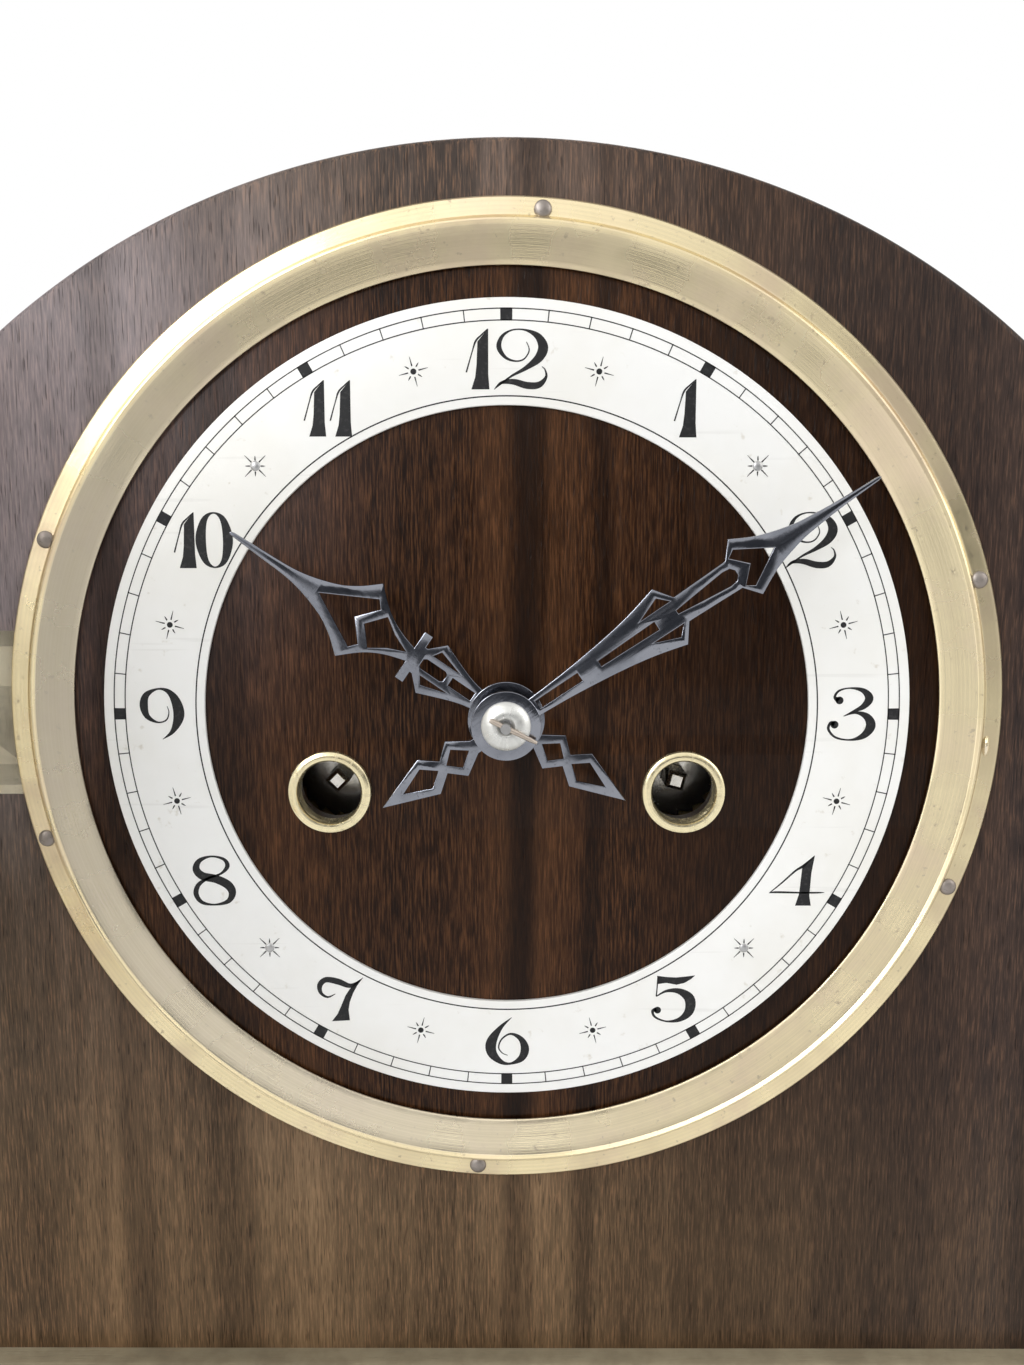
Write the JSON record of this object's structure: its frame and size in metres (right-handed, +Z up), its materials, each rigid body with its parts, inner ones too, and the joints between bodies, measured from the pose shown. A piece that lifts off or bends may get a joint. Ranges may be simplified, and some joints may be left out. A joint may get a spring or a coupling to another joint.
{
  "type": "tambour mantel clock",
  "caption": "Wooden tambour mantel clock: arched case, silvered chapter ring, pierced hands, glazed brass door, wound going and strike trains, pendulum, hammers and gong.",
  "frame": {"origin": "middle of the plinth's underside", "axes": "+X to the right of the dial, +Y back into the case, +Z up"},
  "size_m": [0.4704, 0.2876, 0.2333],
  "materials": {
    "case_veneer": "polished dark walnut veneer",
    "case_wood": "polished dark walnut",
    "plain_wood": "bare softwood and ply",
    "brass": "polished and lacquered",
    "movement_brass": "satin",
    "steel": "bright",
    "polished_hands": "polished",
    "silvered_dial": "matte silvered with black printing",
    "clear_glass": "clear",
    "iron": "painted"
  },
  "bodies": {
    "case": {"plinth": "case_wood", "front_board": "case_veneer", "top_skin": "case_wood", "corner_blocks": "plain_wood", "back_board": "plain_wood", "back_hinge_fixed_leaves": "brass", "back_hinge_pins": "steel", "chapter_ring": "silvered_dial", "bezel_ring": "brass", "winding_grommets": "brass", "door_hinge_fixed_leaf": "brass", "door_hinge_pin": "steel", "minute_wheel_post": "steel", "front_plate": "movement_brass", "back_plate": "movement_brass", "plate_pillars": "movement_brass", "pillar_nuts": "steel", "movement_straps": "steel", "click_screws": "steel", "suspension_cock": "movement_brass", "hammer_post": "steel", "gong_block": "iron", "gong_rods": "steel"},
    "glazed_door": {"door_bezel": "brass", "door_glass": "clear_glass", "glass_clips": "brass", "door_hinge_moving_leaf": "brass"},
    "back_door": {"back_door_panel": "plain_wood", "back_door_knob": "brass", "back_hinge_door_leaves": "brass"},
    "minute_hand_group": {"minute_hand": "polished_hands", "cannon_pinion": "steel"},
    "hour_hand_group": {"hour_hand": "polished_hands", "hour_wheel": "movement_brass"},
    "minute_wheel_group": {"minute_wheel": "movement_brass"},
    "centre_arbor_group": {"centre_arbor": "steel", "centre_wheel": "movement_brass", "hand_washer": "steel", "hand_taper_pin": "steel"},
    "third_wheel_group": {"third_wheel": "movement_brass"},
    "escape_wheel_group": {"escape_wheel": "movement_brass"},
    "intermediate_group": {"intermediate_wheel": "movement_brass"},
    "going_barrel_group": {"going_barrel": "movement_brass"},
    "strike_barrel_group": {"strike_barrel": "movement_brass"},
    "pin_wheel_group": {"strike_pin_wheel": "movement_brass"},
    "fly_group": {"strike_fly": "steel"},
    "going_winding_group": {"going_winding_arbor": "steel"},
    "strike_winding_group": {"strike_winding_arbor": "steel"},
    "going_click_group": {"going_click": "steel"},
    "strike_click_group": {"strike_click": "steel"},
    "anchor_group": {"pallet_anchor": "steel"},
    "pendulum_group": {"pendulum_rod": "steel", "pendulum_bob": "movement_brass", "rating_nut": "movement_brass"},
    "hammer_group": {"hammers": "movement_brass"}
  },
  "joints": [
    {"name": "glazed_door_hinge", "type": "hinge", "parent": "case", "child": "glazed_door", "pos_m": [-0.092, -0.0523, 0.1377], "axis": [0, 0, 1], "range_deg": [-8, 105]},
    {"name": "back_door_hinge", "type": "hinge", "parent": "case", "child": "back_door", "pos_m": [0.0745, 0.0522, 0.108], "axis": [0, 0, 1], "range_deg": [-110, 0]},
    {"name": "minute_hand_turn", "type": "hinge", "parent": "case", "child": "minute_hand_group", "pos_m": [0, -0.062, 0.1377], "axis": [0, 1, 0], "continuous": true},
    {"name": "minute_wheel_turn", "type": "hinge", "parent": "case", "child": "minute_wheel_group", "pos_m": [0, -0.036, 0.1257], "axis": [0, 1, 0], "continuous": true},
    {"name": "hour_hand_turn", "type": "hinge", "parent": "case", "child": "hour_hand_group", "pos_m": [0, -0.056, 0.1377], "axis": [0, 1, 0], "continuous": true},
    {"name": "third_wheel_turn", "type": "hinge", "parent": "case", "child": "third_wheel_group", "pos_m": [-0.00987, -0.008, 0.15221], "axis": [0, 1, 0], "continuous": true},
    {"name": "centre_arbor_turn", "type": "hinge", "parent": "case", "child": "centre_arbor_group", "pos_m": [0, -0.026, 0.1377], "axis": [0, 1, 0], "continuous": true},
    {"name": "escape_wheel_turn", "type": "hinge", "parent": "case", "child": "escape_wheel_group", "pos_m": [0, 0, 0.1627], "axis": [0, 1, 0], "continuous": true},
    {"name": "intermediate_turn", "type": "hinge", "parent": "case", "child": "intermediate_group", "pos_m": [0.01549, -0.02, 0.14778], "axis": [0, 1, 0], "continuous": true},
    {"name": "going_barrel_turn", "type": "hinge", "parent": "case", "child": "going_barrel_group", "pos_m": [0.0311, 0, 0.1237], "axis": [0, 1, 0], "continuous": true},
    {"name": "pin_wheel_turn", "type": "hinge", "parent": "case", "child": "pin_wheel_group", "pos_m": [-0.03608, -0.02, 0.15196], "axis": [0, 1, 0], "continuous": true},
    {"name": "strike_barrel_turn", "type": "hinge", "parent": "case", "child": "strike_barrel_group", "pos_m": [-0.0311, 0, 0.1237], "axis": [0, 1, 0], "continuous": true},
    {"name": "fly_turn", "type": "hinge", "parent": "case", "child": "fly_group", "pos_m": [-0.02742, -0.01, 0.16697], "axis": [0, 1, 0], "continuous": true},
    {"name": "going_winding_turn", "type": "hinge", "parent": "case", "child": "going_winding_group", "pos_m": [0.0311, -0.034, 0.1237], "axis": [0, 1, 0], "continuous": true},
    {"name": "strike_winding_turn", "type": "hinge", "parent": "case", "child": "strike_winding_group", "pos_m": [-0.0311, -0.034, 0.1237], "axis": [0, 1, 0], "continuous": true},
    {"name": "going_click_lift", "type": "hinge", "parent": "case", "child": "going_click_group", "pos_m": [0.03702, -0.033, 0.13483], "axis": [0, 1, 0], "range_deg": [0, 12]},
    {"name": "strike_click_lift", "type": "hinge", "parent": "case", "child": "strike_click_group", "pos_m": [-0.03702, -0.033, 0.13483], "axis": [0, 1, 0], "range_deg": [-12, 0]},
    {"name": "pendulum_swing", "type": "hinge", "parent": "case", "child": "pendulum_group", "pos_m": [0, 0.016, 0.17798], "axis": [0, 1, 0], "range_deg": [-4, 4]},
    {"name": "anchor_rock", "type": "hinge", "parent": "case", "child": "anchor_group", "pos_m": [0, 0, 0.17798], "axis": [0, 1, 0], "range_deg": [-4, 4]},
    {"name": "hammer_lift", "type": "hinge", "parent": "case", "child": "hammer_group", "pos_m": [-0.036, 0.03, 0.0977], "axis": [0, 1, 0], "range_deg": [0, 20]}
  ],
  "couplings": [
    {"joint": "minute_wheel_turn", "follows": "minute_hand_turn", "ratio": -0.33333},
    {"joint": "hour_hand_turn", "follows": "minute_hand_turn", "ratio": 0.083333},
    {"joint": "centre_arbor_turn", "follows": "third_wheel_turn", "ratio": -0.083333},
    {"joint": "escape_wheel_turn", "follows": "third_wheel_turn", "ratio": -11},
    {"joint": "intermediate_turn", "follows": "third_wheel_turn", "ratio": 0.013889},
    {"joint": "going_barrel_turn", "follows": "third_wheel_turn", "ratio": -0.0023148},
    {"joint": "strike_barrel_turn", "follows": "pin_wheel_turn", "ratio": -0.16667},
    {"joint": "fly_turn", "follows": "pin_wheel_turn", "ratio": -8},
    {"joint": "anchor_rock", "follows": "pendulum_swing", "ratio": 1}
  ]
}
